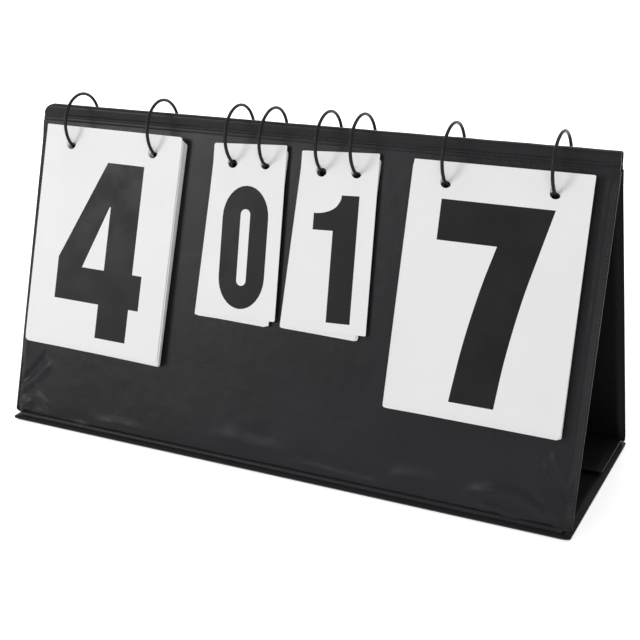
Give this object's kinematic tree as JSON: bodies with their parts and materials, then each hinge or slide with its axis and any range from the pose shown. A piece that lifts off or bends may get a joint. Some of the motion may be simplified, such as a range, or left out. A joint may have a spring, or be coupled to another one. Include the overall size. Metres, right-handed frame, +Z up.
{
  "type": "tabletop flip scoreboard",
  "caption": "Folding tent-shaped tabletop scoreboard covered in black coated fabric, with white number cards that flip over its ridge on wire rings.",
  "frame": {"origin": "middle of the base's underside", "axes": "+X along the ridge towards the guest side, +Y from the front to the back, +Z up"},
  "size_m": [0.4, 0.1358, 0.2224],
  "materials": {
    "fabric": "black PVC-coated nylon, semi-gloss",
    "lining": "black PVC-coated nylon, satin",
    "grey_board": "pressed grey board",
    "touch_tape": "black hook-and-loop tape",
    "wire": "gloss black lacquered steel wire",
    "card": "white plastic card, satin"
  },
  "bodies": {
    "front_panel": {"front_cover": "fabric", "front_board": "grey_board", "front_lining": "lining", "front_hinge_strip": "fabric", "ridge_band_front": "fabric", "home_points_front_pack": "card", "home_games_front_pack": "card", "guest_games_front_pack": "card", "guest_points_front_pack": "card"},
    "back_panel": {"back_cover": "fabric", "back_board": "grey_board", "back_lining": "lining", "back_hinge_strip": "fabric", "ridge_band_back": "fabric", "home_points_back_pack": "card", "guest_games_back_pack": "card", "guest_points_back_pack": "card"},
    "base": {"base_cover": "fabric", "base_board": "grey_board", "base_lining": "lining", "loop_tape": "touch_tape"},
    "flap": {"flap_cover": "fabric", "flap_board": "grey_board", "flap_lining": "lining", "hook_tape": "touch_tape"},
    "home_points_ring_left": {"home_points_ring_left": "wire"},
    "home_points_front_card": {"home_points_front_card": "card"},
    "home_points_ring_right": {"home_points_ring_right": "wire"},
    "home_points_back_card": {"home_points_back_card": "card"},
    "home_games_ring_left": {"home_games_ring_left": "wire"},
    "home_games_front_card": {"home_games_front_card": "card"},
    "home_games_ring_right": {"home_games_ring_right": "wire"},
    "home_games_back_card": {"home_games_back_card": "card"},
    "guest_games_ring_left": {"guest_games_ring_left": "wire"},
    "guest_games_front_card": {"guest_games_front_card": "card"},
    "guest_games_ring_right": {"guest_games_ring_right": "wire"},
    "guest_games_back_card": {"guest_games_back_card": "card"},
    "guest_points_ring_left": {"guest_points_ring_left": "wire"},
    "guest_points_front_card": {"guest_points_front_card": "card"},
    "guest_points_ring_right": {"guest_points_ring_right": "wire"},
    "guest_points_back_card": {"guest_points_back_card": "card"}
  },
  "joints": [
    {"name": "ridge_fold", "type": "hinge", "parent": "front_panel", "child": "back_panel", "pos_m": [0, 0, 0.2001], "axis": [-1, 0, 0], "range_deg": [0, 33]},
    {"name": "base_fold", "type": "hinge", "parent": "front_panel", "child": "base", "pos_m": [0, -0.0667, 0.0043], "axis": [-1, 0, 0], "range_deg": [0, 106]},
    {"name": "flap_fold", "type": "hinge", "parent": "back_panel", "child": "flap", "pos_m": [0, 0.0613, 0.00795], "axis": [-1, 0, 0], "range_deg": [0, 71]},
    {"name": "home_points_front_flip", "type": "hinge", "parent": "front_panel", "child": "home_points_ring_left", "pos_m": [-0.1699, 0, 0.2013], "axis": [1, 0, 0], "range_deg": [-238, 0]},
    {"name": "home_points_front_swing", "type": "hinge", "parent": "home_points_ring_left", "child": "home_points_front_card", "pos_m": [-0.1699, -0.01356, 0.18799], "axis": [1, 0, 0], "range_deg": [-91, 0]},
    {"name": "home_points_back_flip", "type": "hinge", "parent": "back_panel", "child": "home_points_ring_right", "pos_m": [-0.1039, 0, 0.2013], "axis": [-1, 0, 0], "range_deg": [-247.7, 0]},
    {"name": "home_points_back_swing", "type": "hinge", "parent": "home_points_ring_right", "child": "home_points_back_card", "pos_m": [-0.1039, 0.01054, 0.18549], "axis": [-1, 0, 0], "range_deg": [-80, 0]},
    {"name": "home_games_front_flip", "type": "hinge", "parent": "front_panel", "child": "home_games_ring_left", "pos_m": [-0.0453, 0, 0.2021], "axis": [1, 0, 0], "range_deg": [-250.8, 0]},
    {"name": "home_games_front_swing", "type": "hinge", "parent": "home_games_ring_left", "child": "home_games_front_card", "pos_m": [-0.0453, -0.01105, 0.18664], "axis": [1, 0, 0], "range_deg": [-81, 0]},
    {"name": "home_games_back_flip", "type": "hinge", "parent": "back_panel", "child": "home_games_ring_right", "pos_m": [-0.0215, 0, 0.2021], "axis": [-1, 0, 0], "range_deg": [-257, 0]},
    {"name": "home_games_back_swing", "type": "hinge", "parent": "home_games_ring_right", "child": "home_games_back_card", "pos_m": [-0.0215, 0.0091, 0.18542], "axis": [-1, 0, 0], "range_deg": [-73, 0]},
    {"name": "guest_games_front_flip", "type": "hinge", "parent": "front_panel", "child": "guest_games_ring_left", "pos_m": [0.0179, 0, 0.2025], "axis": [1, 0, 0], "range_deg": [-250, 0]},
    {"name": "guest_games_front_swing", "type": "hinge", "parent": "guest_games_ring_left", "child": "guest_games_front_card", "pos_m": [0.0179, -0.0107, 0.1868], "axis": [1, 0, 0], "range_deg": [-81, 0]},
    {"name": "guest_games_back_flip", "type": "hinge", "parent": "back_panel", "child": "guest_games_ring_right", "pos_m": [0.0417, 0, 0.2025], "axis": [-1, 0, 0], "range_deg": [-257, 0]},
    {"name": "guest_games_back_swing", "type": "hinge", "parent": "guest_games_ring_right", "child": "guest_games_back_card", "pos_m": [0.0417, 0.00948, 0.18603], "axis": [-1, 0, 0], "range_deg": [-73, 0]},
    {"name": "guest_points_front_flip", "type": "hinge", "parent": "front_panel", "child": "guest_points_ring_left", "pos_m": [0.1002, 0, 0.2017], "axis": [1, 0, 0], "range_deg": [-241, 0]},
    {"name": "guest_points_front_swing", "type": "hinge", "parent": "guest_points_ring_left", "child": "guest_points_front_card", "pos_m": [0.1002, -0.01279, 0.18765], "axis": [1, 0, 0], "range_deg": [-88, 0]},
    {"name": "guest_points_back_flip", "type": "hinge", "parent": "back_panel", "child": "guest_points_ring_right", "pos_m": [0.1662, 0, 0.2017], "axis": [-1, 0, 0], "range_deg": [-247.5, 0]},
    {"name": "guest_points_back_swing", "type": "hinge", "parent": "guest_points_ring_right", "child": "guest_points_back_card", "pos_m": [0.1662, 0.01115, 0.18632], "axis": [-1, 0, 0], "range_deg": [-80, 0]}
  ],
  "couplings": [
    {"joint": "base_fold", "follows": "ridge_fold", "ratio": 3.2},
    {"joint": "flap_fold", "follows": "ridge_fold", "ratio": 2.14},
    {"joint": "home_points_front_swing", "follows": "home_points_front_flip", "ratio": 0.38},
    {"joint": "home_points_back_swing", "follows": "home_points_back_flip", "ratio": 0.32},
    {"joint": "home_games_front_swing", "follows": "home_games_front_flip", "ratio": 0.32},
    {"joint": "home_games_back_swing", "follows": "home_games_back_flip", "ratio": 0.28},
    {"joint": "guest_games_front_swing", "follows": "guest_games_front_flip", "ratio": 0.32},
    {"joint": "guest_games_back_swing", "follows": "guest_games_back_flip", "ratio": 0.28},
    {"joint": "guest_points_front_swing", "follows": "guest_points_front_flip", "ratio": 0.36},
    {"joint": "guest_points_back_swing", "follows": "guest_points_back_flip", "ratio": 0.32}
  ]
}
